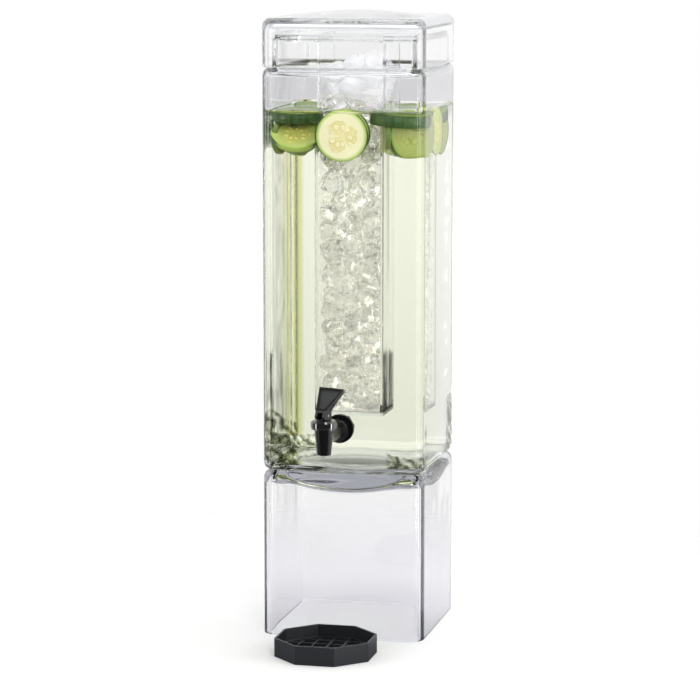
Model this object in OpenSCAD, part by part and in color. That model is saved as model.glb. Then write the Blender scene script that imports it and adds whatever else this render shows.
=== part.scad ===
// Square glass beverage dispenser: a glass jar with a clear ice tube, a glass lid, a lever tap,
// an upturned glass box as its pedestal and an eight-sided drip tray with a lattice.
// Millimetres. Z is up, the tap looks along -Y, and the pedestal's centre on the table is the origin.

/* [Glass] */
// outer width and depth of the square glass
body_w = 178; // [172:1:186]
// outer corner radius, seen from above
body_corner = 16; // [14:0.5:20]
// thickness of the jar's and the pedestal's walls
glass_wall = 6; // [5:0.25:6.5]
// width of the round push-up in the jar's floor and in the pedestal's top
push_up_w = 144; // [110:2:144]
// height of the push-up
push_up_h = 8; // [5:0.5:9]

/* [Pedestal] */
// height of the pedestal
base_h = 182; // [150:1:196]
// thickness of the pedestal's closed top at its edge
base_top = 7; // [6:0.5:10]
// rounding of the pedestal's upper edge
base_round = 9; // [6:0.5:10]
// width of the round lens of glass that hangs under the closed top, between the walls
sag_w = 196; // [170:2:200]
// depth of that lens
sag_h = 23; // [12:0.5:26]

/* [Jar] */
// height of the jar up to its shoulder
jar_h = 435; // [395:1:450]
// thickness of the jar's floor
jar_floor = 6; // [5:0.5:9]
// rounding of the jar's lower edge
jar_round = 8; // [6:0.5:10]
// rounding of the shoulder
shoulder_round = 9; // [6:0.5:10]
// step from the jar's side in to the neck
neck_step = 10; // [10:0.5:12]
// height of the neck above the shoulder
neck_h = 30; // [24:1:34]
// thickness of the neck's wall
neck_wall = 5.5; // [4.5:0.25:6.5]

/* [Lid] */
// height of the lid at its upper edge
lid_h = 52.5; // [48:0.5:62]
// thickness of the lid's wall
lid_wall = 6; // [5:0.25:6.5]
// thickness of the lid's top
lid_top = 7; // [5:0.5:9]
// rounding of the lid's upper edge
lid_round = 9; // [6:0.5:12]
// width of the low round dome in the lid's top
lid_dome_w = 152; // [120:2:154]
// height of the dome
lid_dome_h = 6; // [2:0.5:8]

/* [Ice tube] */
// outer width of the square tube
tube_w = 76; // [64:1:82]
// thickness of the tube's wall
tube_wall = 3.5; // [2.5:0.25:4.5]
// height of the tube's underside above the jar's underside
tube_clear = 58; // [50:1:80]
// thickness of the tube's floor plate
tube_floor_t = 4; // [3:0.5:6]
// thickness of the plate that lies on the neck's rim
hanger_t = 4; // [3:0.5:6]

/* [Tap] */
// height of the shank's axis above the jar's underside
tap_height = 50.5; // [46:0.5:62]
// distance from the glass to the spout's axis
tap_reach = 76; // [62:1:84]
// outer diameter of the hollow shank
shank_d = 15.8; // [14:0.2:17]
// diameter of the shoulder flange
flange_d = 31; // [29:0.5:36]
// distance from the shank's axis down to the spout's tip
spout_drop = 16; // [14:0.5:24]
// outer diameter of the spout's tip
spout_tip_d = 15.2; // [14.4:0.2:18]
// outer diameter of the bonnet collar
bonnet_d = 27.8; // [25:0.2:30]
// turn of the lever on the bonnet, to the right
handle_turn = 20; // [-40:1:40]
// distance by which the paddle leans back
handle_lean = 21; // [16:0.5:24]
// width of the paddle's upper edge
handle_top_w = 31; // [22:0.5:33]
// width across the flats of the shank nut
nut_flats = 22.5; // [22:0.5:28]

/* [Drip tray] */
// width of the tray across its flats
tray_w = 102; // [94:1:114]
// height of the tray
tray_h = 20; // [16:0.5:26]
// gap between the tray and the pedestal
tray_gap = 18; // [2:1:30]
// spacing of the lattice bars
grid_pitch = 16; // [12:0.5:18]
// width of a lattice bar
grid_bar = 2.2; // [1.6:0.1:3]

/* [Hidden] */
$fn = 64;

// how far a cutting shape runs past the face it opens
past = 1;

// heights of the stacked glass
shoulder_z = base_h + jar_h;
rim_z = shoulder_z + neck_h;

// glass: inner outlines follow the outer ones
inner_w = body_w - 2 * glass_wall;
inner_corner = body_corner - glass_wall;
foot_round = 1.5;
inner_round = 9;
push_up_r = (pow(push_up_w / 2, 2) + pow(push_up_h, 2)) / (2 * push_up_h);
sag_r = (pow(sag_w / 2, 2) + pow(sag_h, 2)) / (2 * sag_h);
neck_w = body_w - 2 * neck_step;
neck_corner = 8;
rim_round = 1.5;
mouth_w = neck_w - 2 * neck_wall;
mouth_corner = 4;
shoulder_inner_round = 4;
lid_inner_w = body_w - 2 * lid_wall;
lid_inner_corner = body_corner - lid_wall;
lid_inner_round = 5;
lid_dome_r = (pow(lid_dome_w / 2, 2) + pow(lid_dome_h, 2)) / (2 * lid_dome_h);
seat_gap = 0.3;
lid_reach_in = lid_inner_w / 2 - (body_w / 2 - shoulder_round);
lid_z = shoulder_z - shoulder_round + sqrt(pow(shoulder_round + seat_gap, 2) - pow(lid_reach_in, 2));

// ice tube: hangs by a plate with a step that centres it in the mouth
tube_corner = 3;
tube_z = base_h + tube_clear;
hanger_inset = 2;
hanger_w = neck_w - 2 * hanger_inset;
hanger_corner = 6;
hanger_step = 3;
hanger_play = 1;
tube_top_z = rim_z + hanger_t;
glue_gap = 0.05;

// tap, measured from the point where the shank's axis leaves the glass
washer_t = 2.5;
washer_inset = 0.75;
washer_d = flange_d - 2 * washer_inset;
flange_t = 5;
hub_d = 24;
hub_end = 22;
arm_d = 15.5;
arm_cone = 6;
shank_bore_d = 9;
shank_inside = 27;
shank_play = 0.1;
nut_t = 9;
nut_chamfer = 1.2;
inner_washer_d = nut_flats;
spout_top = 11.5;
spout_top_d = 20.4;
tip_chamfer = 0.5;
boss_d = 20.8;
boss_top = 17.8;
outlet_d = 10.8;
seat_drop = 6.5;
seat_z = -seat_drop;
chamber_d = 15.6;

// soft cup between the body's boss and the bonnet
cup_d = 13.8;
cup_inner_d = 11.8;
cup_pad = 4;
cup_rim_t = 1.2;
cup_rim_inset = 0.3;
cup_rim_d = boss_d - 2 * cup_rim_inset;
cup_flare_z = 12;
cup_flare_d = 15;

// bonnet collar
bonnet_play = 0.1;
bonnet_gap = 0.3;
bonnet_low = spout_top + bonnet_gap;
bonnet_ceiling = boss_top + cup_rim_t;
bonnet_top_t = 1.8;
bonnet_top = bonnet_ceiling + bonnet_top_t;
bonnet_bevel = 2;
bonnet_groove = 0.6;
bonnet_groove_h = 1.4;
bonnet_groove_z = bonnet_low + bonnet_groove_h;

// stem and spring
stem_d = 6;
stem_play = 0.06;
stem_disc_d = 10.8;
stem_disc_t = 1.5;
stem_foot_gap = 0.05;
stem_foot = seat_z + cup_pad + stem_foot_gap;
stem_tip_d = 4;
stem_tip_h = 2;
stem_tip_play = 0.06;
spring_wire_d = 0.9;
spring_mean_d = 9;
spring_turns = 7;
spring_sides = 8;
spring_steps = 20;
spring_end_gap = 0.12;
spring_low = stem_foot + stem_disc_t + spring_end_gap;
spring_high = bonnet_ceiling - spring_end_gap;

// lever: a cam foot that lifts the pin as the lever is pulled forward
pin_d = 2.5;
pin_play = 0.05;
pin_press = 0.02;
heel_h = 5;
heel_gap = 0.3;
lift_rate = 3;
pull_angle = 65;
cam_steps = 13;
pin_z = bonnet_top + heel_gap + heel_h;
lever_w = 12;
lever_back = 5.5;
lever_front = 6;
lever_bend_z = 6;
lever_back_bend_z = 3;
paddle_top_z = 27;
paddle_t = 5;
paddle_dish = 1.6;
paddle_rim = 2.4;
fork_play = 0.25;
fork_w = stem_d + 2 * fork_play;
fork_round = 4.7;
fork_front_top = 3.5;
pin_inset = 0.2;
pin_l = lever_w - 2 * pin_inset;

// drip tray: wall, ledge and lattice
tray_wall = 2;
tray_floor = 2;
tray_foot = 1;
tray_foot_wall = 3;
ledge_z = 4.4;
ledge_w = 3;
grid_t = 3;
grid_play = 0.4;
grid_frame = 2.6;
grid_reach = ceil(tray_w / grid_pitch / 2);
octagon_sides = 8;

// colours for the screen
glass_tint = [0.86, 0.9, 0.9, 0.35];
clear_tint = [0.92, 0.95, 0.96, 0.35];
black_tint = [0.09, 0.09, 0.1];
rubber_tint = [0.22, 0.22, 0.23];
soft_tint = [0.85, 0.86, 0.85];
steel_tint = [0.7, 0.71, 0.72];
slate_tint = [0.19, 0.2, 0.22];

// square corner of material outside a quarter circle, at the origin, inside x > 0 and y > 0
module edge_waste(r) {
    difference() {
        translate([-past, -past])
            square(r + past);
        translate([r, r])
            circle(r);
    }
}

// upright outline w wide and h high with rounded lower and upper edges
module block_outline(w, h, low_round, high_round) {
    difference() {
        translate([-w / 2, 0])
            square([w, h]);
        for (side = [0, 1]) {
            mirror([side, 0]) {
                if (low_round > 0)
                    translate([-w / 2, 0])
                        edge_waste(low_round);
                if (high_round > 0)
                    translate([-w / 2, h])
                        mirror([0, 1])
                            edge_waste(high_round);
            }
        }
    }
}

// square block with rounded upright corners and rounded lower and upper edges
module soft_block(w, corner, h, low_round, high_round) {
    flat = w - 2 * corner;
    for (turn = [0, 90])
        rotate(turn)
            translate([-flat / 2, 0, 0])
                rotate([90, 0, 90])
                    linear_extrude(flat)
                        block_outline(w, h, low_round, high_round);
    for (x = [-1, 1], y = [-1, 1])
        translate([x * flat / 2, y * flat / 2, 0])
            rotate_extrude()
                intersection() {
                    block_outline(2 * corner, h, low_round, high_round);
                    square([corner, h]);
                }
}

// cap of the sphere that makes a push-up, at height z over the floor plane, thicker by t
module push_up(t) {
    translate([0, 0, push_up_h - push_up_r])
        sphere(push_up_r + t);
}

// low dome of the lid's top over the plane at height z, its surface t below the outer one
module lid_dome(z, t) {
    rotate_extrude()
        intersection() {
            translate([0, lid_h + lid_dome_h - lid_dome_r])
                circle(lid_dome_r - t);
            translate([0, z - past])
                square([lid_dome_w / 2, lid_dome_h + 2 * past]);
        }
}

// washer or disc along +Y
module disc_y(d, t) {
    rotate([-90, 0, 0])
        cylinder(h = t, d = d);
}

module at_tap() {
    translate([0, -body_w / 2, base_h + tap_height])
        children();
}

module at_spout() {
    at_tap()
        translate([0, -tap_reach, 0])
            children();
}

module at_lever() {
    at_spout()
        translate([0, 0, pin_z])
            rotate(-handle_turn)
                children();
}

module at_tray() {
    translate([0, -(body_w / 2 + tray_gap + tray_w / 2), 0])
        children();
}

// regular octagon of the given width across its flats, one flat towards the pedestal
module octagon(flats) {
    rotate(180 / octagon_sides)
        circle(d = flats / cos(180 / octagon_sides), $fn = octagon_sides);
}

// closed top with a push-up above and a lens below, rounded shoulders, straight walls, open foot
module glass_base() {
    color(glass_tint)
        difference() {
            soft_block(body_w, body_corner, base_h, foot_round, base_round);
            difference() {
                translate([0, 0, -past])
                    soft_block(inner_w, inner_corner, base_h - base_top + past, 0, inner_round);
                translate([0, 0, base_h - base_top - sag_h + sag_r])
                    sphere(sag_r);
            }
            translate([0, 0, base_h])
                mirror([0, 0, 1])
                    push_up(0);
        }
}

// square jar: pushed-up floor, rounded shoulder, neck with a plain rim, tap hole in the front wall
module glass_jar() {
    color(glass_tint)
        difference() {
            translate([0, 0, base_h])
                difference() {
                    union() {
                        soft_block(body_w, body_corner, jar_h, jar_round, shoulder_round);
                        translate([0, 0, jar_h - shoulder_round])
                            soft_block(neck_w, neck_corner, neck_h + shoulder_round, 0, rim_round);
                    }
                    difference() {
                        translate([0, 0, jar_floor])
                            soft_block(inner_w, inner_corner, jar_h - jar_floor - glass_wall,
                                inner_round, shoulder_inner_round);
                        push_up(jar_floor);
                    }
                    translate([0, 0, jar_h / 2])
                        soft_block(mouth_w, mouth_corner, jar_h / 2 + neck_h + past, 0, 0);
                    push_up(0);
                }
            at_tap()
                translate([0, -past, 0])
                    disc_y(shank_d + 2 * shank_play, glass_wall + 2 * past);
        }
}

// glass cap with a low dome over the neck; its rim stands on the curve of the jar's shoulder
module glass_lid() {
    color(glass_tint)
        translate([0, 0, lid_z])
            difference() {
                union() {
                    soft_block(body_w, body_corner, lid_h, foot_round, lid_round);
                    lid_dome(lid_h, 0);
                }
                translate([0, 0, -past])
                    soft_block(lid_inner_w, lid_inner_corner, lid_h - lid_top + past, 0, lid_inner_round);
                lid_dome(lid_h - lid_top, lid_top);
            }
}

// clear square tube for the ice, cemented to its floor and to the plate it hangs by
module ice_tube() {
    color(clear_tint)
        translate([0, 0, tube_z + tube_floor_t])
            difference() {
                soft_block(tube_w, tube_corner, tube_top_z - tube_z - tube_floor_t, 0, 0);
                translate([0, 0, -past])
                    linear_extrude(tube_top_z - tube_z + past)
                        square(tube_w - 2 * tube_wall, center = true);
            }
}

module ice_tube_floor() {
    color(clear_tint)
        translate([0, 0, tube_z])
            soft_block(tube_w, tube_corner, tube_floor_t, 0, 0);
}

module ice_tube_flange() {
    color(clear_tint)
        difference() {
            union() {
                translate([0, 0, rim_z])
                    soft_block(hanger_w, hanger_corner, hanger_t, 0, rim_round);
                translate([0, 0, rim_z - hanger_step])
                    soft_block(mouth_w - 2 * hanger_play, mouth_corner, hanger_step + hanger_t / 2, 0, 0);
            }
            translate([0, 0, rim_z - hanger_step - past])
                soft_block(tube_w + 2 * glue_gap, tube_corner, hanger_step + hanger_t + 2 * past, 0, 0);
        }
}

// spout, boss for the bonnet, arm, hub, shoulder flange and hollow shank, moulded in one
module tap_body() {
    color(black_tint)
        difference() {
            union() {
                at_spout() {
                    rotate_extrude()
                        polygon([
                            [0, -spout_drop],
                            [spout_tip_d / 2 - tip_chamfer, -spout_drop],
                            [spout_tip_d / 2, -spout_drop + tip_chamfer],
                            [spout_top_d / 2, spout_top],
                            [boss_d / 2, spout_top],
                            [boss_d / 2, boss_top],
                            [0, boss_top]
                        ]);
                    disc_y(arm_d, tap_reach - washer_t);
                }
                at_tap() {
                    translate([0, -hub_end, 0])
                        disc_y(hub_d, hub_end - washer_t);
                    translate([0, -hub_end - arm_cone, 0])
                        rotate([-90, 0, 0])
                            cylinder(h = arm_cone, d1 = arm_d, d2 = hub_d);
                    translate([0, -washer_t - flange_t, 0])
                        disc_y(flange_d, flange_t);
                    translate([0, -washer_t - flange_t, 0])
                        disc_y(shank_d, washer_t + flange_t + glass_wall + shank_inside);
                }
            }
            at_spout() {
                translate([0, 0, -spout_drop - past])
                    cylinder(h = spout_drop + past, d = outlet_d);
                translate([0, 0, seat_z])
                    cylinder(h = boss_top - seat_z + past, d = chamber_d);
                disc_y(shank_bore_d, tap_reach + glass_wall + shank_inside + past);
            }
        }
}

// glossy collar with a bevelled top, screwed over the boss; the stem slides in its middle
module tap_bonnet() {
    color(black_tint)
        at_spout()
            rotate_extrude()
                polygon([
                    [boss_d / 2 + bonnet_play, bonnet_low],
                    [bonnet_d / 2 - bonnet_groove, bonnet_low],
                    [bonnet_d / 2 - bonnet_groove, bonnet_groove_z],
                    [bonnet_d / 2, bonnet_groove_z + bonnet_groove],
                    [bonnet_d / 2, bonnet_top - bonnet_bevel],
                    [bonnet_d / 2 - bonnet_bevel, bonnet_top],
                    [stem_d / 2 + stem_play, bonnet_top],
                    [stem_d / 2 + stem_play, bonnet_ceiling],
                    [boss_d / 2 + bonnet_play, bonnet_ceiling]
                ]);
}

// foot of the cam at a pull of a degrees, below and in front of the pin
function cam_point(a) =
    (heel_h + lift_rate * a * PI / 180) * [-sin(a), -cos(a)] + lift_rate * [-cos(a), sin(a)];

// lever: forked cam foot on the pin and a flared, dished paddle that leans back
module tap_handle() {
    lean_front = [handle_lean - lever_front, paddle_top_z];
    slope = atan2(paddle_top_z - lever_bend_z, handle_lean);
    across = paddle_t * [sin(slope), -cos(slope)];
    paddle_l = norm(lean_front - [-lever_front, lever_bend_z]);
    color(black_tint)
        at_lever()
            difference() {
                intersection() {
                    translate([-handle_top_w, 0, 0])
                        rotate([90, 0, 90])
                            linear_extrude(2 * handle_top_w)
                                polygon(concat(
                                    [[lever_back, -heel_h]],
                                    [for (i = [0:cam_steps]) cam_point(pull_angle * i / cam_steps)],
                                    [
                                        [-lever_front, lever_bend_z],
                                        lean_front,
                                        lean_front + across,
                                        [lever_back, lever_back_bend_z]
                                    ]
                                ));
                    translate([0, 2 * handle_lean, 0])
                        rotate([90, 0, 0])
                            linear_extrude(4 * handle_lean)
                                polygon([
                                    [-lever_w / 2, -2 * heel_h],
                                    [lever_w / 2, -2 * heel_h],
                                    [lever_w / 2, lever_bend_z],
                                    [handle_top_w / 2, paddle_top_z],
                                    [-handle_top_w / 2, paddle_top_z],
                                    [-lever_w / 2, lever_bend_z]
                                ]);
                }
                // dish in the paddle's face
                translate([0, -lever_front, lever_bend_z])
                    rotate([slope, 0, 0])
                        translate([0, 0, -paddle_dish])
                            linear_extrude(paddle_dish + past)
                                polygon([
                                    [-lever_w / 2 + paddle_rim, paddle_rim],
                                    [lever_w / 2 - paddle_rim, paddle_rim],
                                    [handle_top_w / 2 - paddle_rim, paddle_l - paddle_rim],
                                    [-handle_top_w / 2 + paddle_rim, paddle_l - paddle_rim]
                                ]);
                // fork for the stem, open below and in front
                translate([-fork_w / 2, 0, 0])
                    rotate([0, 90, 0])
                        cylinder(h = fork_w, r = fork_round);
                translate([-fork_w / 2, -4 * heel_h, -4 * heel_h])
                    cube([fork_w, 4 * heel_h + fork_round, 4 * heel_h]);
                translate([-fork_w / 2, -4 * heel_h, -past])
                    cube([fork_w, 4 * heel_h, fork_front_top + past]);
                // pin hole
                translate([-lever_w, 0, 0])
                    rotate([0, 90, 0])
                        cylinder(h = 2 * lever_w, d = pin_d + 2 * pin_press);
            }
}

module handle_pin() {
    color(steel_tint)
        at_lever()
            translate([-pin_l / 2, 0, 0])
                rotate([0, 90, 0])
                    cylinder(h = pin_l, d = pin_d);
}

// rod with a disc that presses the cup's pad, a tip in the pad and an eye for the pin
module valve_stem() {
    color(black_tint)
        difference() {
            at_spout() {
                translate([0, 0, stem_foot])
                    cylinder(h = pin_z + stem_d / 2 - stem_foot, d = stem_d);
                translate([0, 0, stem_foot])
                    cylinder(h = stem_disc_t, d = stem_disc_d);
                translate([0, 0, stem_foot - stem_tip_h])
                    cylinder(h = stem_tip_h + past, d = stem_tip_d);
            }
            at_lever()
                translate([-lever_w, 0, 0])
                    rotate([0, 90, 0])
                        cylinder(h = 2 * lever_w, d = pin_d + 2 * pin_play);
        }
}

// coil between the stem's disc and the bonnet, one unbroken wire
module valve_spring() {
    wire_r = spring_wire_d / 2;
    rise = spring_high - spring_low - spring_wire_d;
    rings = spring_turns * spring_steps;
    points = [
        for (i = [0:rings], s = [0:spring_sides - 1])
            let (
                turn = 360 * i / spring_steps,
                side = 360 * s / spring_sides,
                r = spring_mean_d / 2 + wire_r * cos(side)
            )
            [r * cos(turn), r * sin(turn), spring_low + wire_r + rise * i / rings + wire_r * sin(side)]
    ];
    sides = [
        for (i = [0:rings - 1], s = [0:spring_sides - 1])
            let (next = (s + 1) % spring_sides)
            [
                i * spring_sides + s, (i + 1) * spring_sides + s,
                (i + 1) * spring_sides + next, i * spring_sides + next
            ]
    ];
    ends = [
        [for (s = [0:spring_sides - 1]) s],
        [for (s = [spring_sides - 1:-1:0]) rings * spring_sides + s]
    ];
    echo(spring_least_gap = rise / spring_turns - spring_wire_d);
    color(steel_tint)
        at_spout()
            polyhedron(points, concat(sides, ends), convexity = 10);
}

// soft cup: pad on the outlet, thin wall and a rim held between boss and bonnet
module seat_cup() {
    color(soft_tint)
        at_spout()
            rotate_extrude()
                polygon([
                    [0, seat_z],
                    [cup_d / 2, seat_z],
                    [cup_d / 2, cup_flare_z],
                    [cup_flare_d / 2, boss_top],
                    [cup_rim_d / 2, boss_top],
                    [cup_rim_d / 2, boss_top + cup_rim_t],
                    [cup_inner_d / 2, boss_top + cup_rim_t],
                    [cup_inner_d / 2, seat_z + cup_pad],
                    [stem_tip_d / 2 + stem_tip_play, seat_z + cup_pad],
                    [stem_tip_d / 2 + stem_tip_play, stem_foot - stem_tip_h - stem_tip_play],
                    [0, stem_foot - stem_tip_h - stem_tip_play]
                ]);
}

// soft ring between the tap's flange and the glass
module outer_washer() {
    color(rubber_tint)
        at_tap()
            translate([0, -washer_t, 0])
                difference() {
                    disc_y(washer_d, washer_t);
                    translate([0, -past, 0])
                        disc_y(shank_d + 2 * shank_play, washer_t + 2 * past);
                }
}

// soft ring between the glass and the nut, inside the jar
module inner_washer() {
    color(rubber_tint)
        at_tap()
            translate([0, glass_wall, 0])
                difference() {
                    disc_y(inner_washer_d, washer_t);
                    translate([0, -past, 0])
                        disc_y(shank_d + 2 * shank_play, washer_t + 2 * past);
                }
}

// six-sided nut on the shank, inside the jar
module shank_nut() {
    corner_d = nut_flats / cos(30);
    color(black_tint)
        at_tap()
            translate([0, glass_wall + washer_t, 0])
                rotate([-90, 0, 0])
                    difference() {
                        intersection() {
                            cylinder(h = nut_t, d = corner_d, $fn = 6);
                            cylinder(h = nut_t, d1 = corner_d + 2 * nut_t - 2 * nut_chamfer,
                                d2 = corner_d - 2 * nut_chamfer);
                        }
                        translate([0, 0, -past])
                            cylinder(h = nut_t + 2 * past, d = shank_d + 2 * shank_play);
                    }
}

// eight-sided tray with a ledge for the lattice and a recessed underside
module drip_tray() {
    color(slate_tint)
        at_tray()
            difference() {
                linear_extrude(tray_h)
                    octagon(tray_w);
                translate([0, 0, ledge_z])
                    linear_extrude(tray_h)
                        octagon(tray_w - 2 * tray_wall);
                translate([0, 0, tray_foot + tray_floor])
                    linear_extrude(tray_h)
                        octagon(tray_w - 2 * tray_wall - 2 * ledge_w);
                translate([0, 0, -past])
                    linear_extrude(tray_foot + past)
                        octagon(tray_w - 2 * tray_foot_wall);
            }
}

// lattice of square bars in an eight-sided frame, laid on the tray's ledge
module drip_grid() {
    grid_w = tray_w - 2 * tray_wall - 2 * grid_play;
    color(slate_tint)
        at_tray()
            translate([0, 0, ledge_z])
                linear_extrude(grid_t) {
                    difference() {
                        octagon(grid_w);
                        octagon(grid_w - 2 * grid_frame);
                    }
                    intersection() {
                        octagon(grid_w - grid_frame);
                        union()
                            for (turn = [0, 90], i = [-grid_reach:grid_reach])
                                rotate(turn)
                                    translate([i * grid_pitch, 0])
                                        square([grid_bar, tray_w], center = true);
                    }
                }
}

glass_base();
glass_jar();
glass_lid();
ice_tube();
ice_tube_floor();
ice_tube_flange();
tap_body();
tap_bonnet();
tap_handle();
handle_pin();
valve_stem();
valve_spring();
seat_cup();
outer_washer();
inner_washer();
shank_nut();
drip_tray();
drip_grid();
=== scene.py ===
import math
import random

import bmesh
import bpy
import numpy as np
from mathutils import Euler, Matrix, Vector, noise


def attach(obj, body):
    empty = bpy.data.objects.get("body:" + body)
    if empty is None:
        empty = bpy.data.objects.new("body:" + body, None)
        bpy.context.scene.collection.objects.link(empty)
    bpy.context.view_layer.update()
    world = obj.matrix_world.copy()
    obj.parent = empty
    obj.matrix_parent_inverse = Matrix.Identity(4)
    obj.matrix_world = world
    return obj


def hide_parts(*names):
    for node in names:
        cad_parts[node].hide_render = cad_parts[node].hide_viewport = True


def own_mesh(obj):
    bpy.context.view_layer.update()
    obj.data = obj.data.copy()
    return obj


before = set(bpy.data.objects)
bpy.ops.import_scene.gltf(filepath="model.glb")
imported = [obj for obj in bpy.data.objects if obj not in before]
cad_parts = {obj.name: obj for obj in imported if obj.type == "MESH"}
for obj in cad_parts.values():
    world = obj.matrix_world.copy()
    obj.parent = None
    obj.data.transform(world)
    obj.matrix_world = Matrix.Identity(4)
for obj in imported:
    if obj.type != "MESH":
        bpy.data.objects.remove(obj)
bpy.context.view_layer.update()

# Pedestal: an upturned box of thick pressed glass. Its closed top has a shallow round dish above and a heavy
# lens of glass hanging below, its edges are fire polished and its ground rim stands on the table.
MM = 0.001
SMOOTH, SOFT, ROUGH, BROKEN, CRUMBLED = 1.0, 2.0, 3.0, 4.0, 5.0


class Signal:
    """A socket in a material. Sums and products with it add the Math nodes that work them out."""

    def __init__(self, tree, socket=None):
        self.tree, self.socket = tree, socket

    def node(self, kind, settings=(), sockets=(), out=0):
        made = self.tree.nodes.new(kind)
        for name, value in dict(settings).items():
            setattr(made, name, value)
        for name, value in dict(sockets).items():
            if isinstance(value, Signal):
                self.tree.links.new(value.socket, made.inputs[name])
            else:
                made.inputs[name].default_value = value
        return Signal(self.tree, made.outputs[out]) if made.outputs else made

    def work(self, operation, *values):
        return self.node("ShaderNodeMath", {"operation": operation}, dict(enumerate(values)))

    def __add__(self, other):
        return self.work("ADD", self, other)

    def __sub__(self, other):
        return self.work("SUBTRACT", self, other)

    def __rsub__(self, other):
        return self.work("SUBTRACT", other, self)

    def __mul__(self, other):
        return self.work("MULTIPLY", self, other)

    def __truediv__(self, other):
        return self.work("DIVIDE", self, other)

    def __pow__(self, other):
        return self.work("POWER", self, other)

    __radd__ = __add__
    __rmul__ = __mul__

    def rise(self, low, high):
        """0 below low, 1 above high, with a soft way between them."""
        return self.node("ShaderNodeMapRange", {"interpolation_type": "SMOOTHSTEP"},
                         {"Value": self, "From Min": low, "From Max": high})

    def tint(self, first, second):
        """The first colour where this is 0 and the second where it is 1."""
        return self.node("ShaderNodeMix", {"data_type": "RGBA"}, {0: self, 6: first, 7: second}, 2)

    def where(self):
        """The place on the piece, in metres."""
        return self.node("ShaderNodeTexCoord", out="Object")

    def along(self, way):
        """The X, Y or Z of a vector."""
        return self.node("ShaderNodeSeparateXYZ", {}, {"Vector": self}, way)

    def grain(self, size, detail=SOFT, stretch=(1, 1, 1)):
        """Noise with lumps of that size, in metres, which detail breaks up further."""
        spot = self.node("ShaderNodeMapping", {}, {"Vector": self.where(), "Scale": stretch})
        return self.node("ShaderNodeTexNoise", {}, {
            "Vector": spot, "Scale": 1 / size, "Detail": detail}, "Fac")

    def patchy(self, size, least, more, detail=ROUGH):
        """A value that drifts in patches of that size, from least up to more above it."""
        return self.grain(size, detail) * more + least

    def bump(self, depth, under=None):
        """A normal for a surface that stands this signal times depth high, in metres."""
        sockets = {"Height": self, "Distance": depth, "Strength": 1.0}
        if under is not None:
            sockets["Normal"] = under
        return self.node("ShaderNodeBump", {}, sockets)


def start_finish(name):
    """A new material without nodes, and a signal to build them from."""
    made = bpy.data.materials.new(name)
    made.use_nodes = True
    made.node_tree.nodes.clear()
    return made, Signal(made.node_tree)


def end_finish(plain, surface, volume=None):
    """Closes a material with its surface, and with what fills it."""
    sockets = {"Surface": surface}
    if volume is not None:
        sockets["Volume"] = volume
    plain.node("ShaderNodeOutputMaterial", {}, sockets)


SIDE_STEPS, CORNER_STEPS, CORNER_START, NO_LENGTH = 5, 11, math.radians(36), 1e-9
eighth = [CORNER_START * k / SIDE_STEPS for k in range(SIDE_STEPS)]
eighth += [CORNER_START + (math.pi / 4 - CORNER_START) * k / CORNER_STEPS for k in range(CORNER_STEPS)]
quarter = eighth + [math.pi / 2 - a for a in [math.pi / 4] + eighth[:0:-1]]
BEARINGS = np.array([q + k * math.pi / 2 for k in range(4) for q in quarter])


def outline(half, flat):
    """Points and outward directions of a square with rounded corners, whose sides are straight up to flat."""
    c, s = np.cos(BEARINGS), np.sin(BEARINGS)
    fold = np.stack([np.maximum(abs(c), abs(s)), np.minimum(abs(c), abs(s))], 1)
    reach = half / fold[:, 0]
    round_off = half - flat
    across = fold.sum(1) * flat
    in_corner = across ** 2 - 2 * flat ** 2 + round_off ** 2
    corner = (reach * fold[:, 1] > flat) & (in_corner > 0)
    reach = np.where(corner, across + np.sqrt(np.maximum(in_corner, 0)), reach)
    points = np.stack([c, s], 1) * reach[:, None]
    middle = np.sign(points) * np.minimum(abs(points), flat)
    side = np.where(abs(points) > flat, points - middle, 0)
    length = np.linalg.norm(side, axis=1, keepdims=True)
    facing = np.where(length > NO_LENGTH, side / np.maximum(length, NO_LENGTH), np.stack([c, s], 1))
    return points, facing


def bend(half, height, radius, start, stop, flat, facing=1, steps=9):
    """Rows of a rounded edge about the line at half and height, from one angle to the other in degrees."""
    rows = []
    for k in range(steps + 1):
        a = math.radians(start + (stop - start) * k / steps)
        c, s = math.cos(a), math.sin(a)
        rows.append((half + radius * c, flat, height + radius * s, facing * c, facing * s))
    return rows


def dome(level, rise, radius, reach, soft, facing, inward, steps=22, crowd=0.8):
    """Rows of a shallow round push-up that stands rise over level and melts into the flat beyond it."""
    rows = []
    for k in range(steps + 1):
        r = reach * (k / steps) ** crowd
        ball = math.sqrt(radius ** 2 - r ** 2)
        over = ball - radius + abs(rise)
        smooth = math.sqrt(over ** 2 + soft ** 2)
        up = math.copysign((over + smooth) / 2, rise)
        slope = math.copysign(-r / ball * (1 + over / smooth) / 2, rise)
        length = math.hypot(slope, 1)
        rows.append((r, 0.0, level + up, -slope / length * facing, facing / length))
    return rows[::-1] if inward else rows


def hung(half, flat, level, deep, radius, soft, fillet, turn):
    """A ready row on the underside of a lens that hangs deep under level, with a fillet at the walls."""
    ring, away = outline(half, flat)
    c, s = math.cos(math.radians(turn)), math.sin(math.radians(turn))
    ball = np.sqrt(radius ** 2 - (ring ** 2).sum(1))
    over = radius - ball - deep
    smooth = np.sqrt(over ** 2 + soft ** 2)
    slope = ring * ((1 - over / smooth) / 2 / ball)[:, None]
    height = level + (over - smooth) / 2 + fillet * (s - 1)
    return np.column_stack([ring, height]), np.column_stack([slope * s - away * c, np.full(len(ring), -s)])


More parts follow.
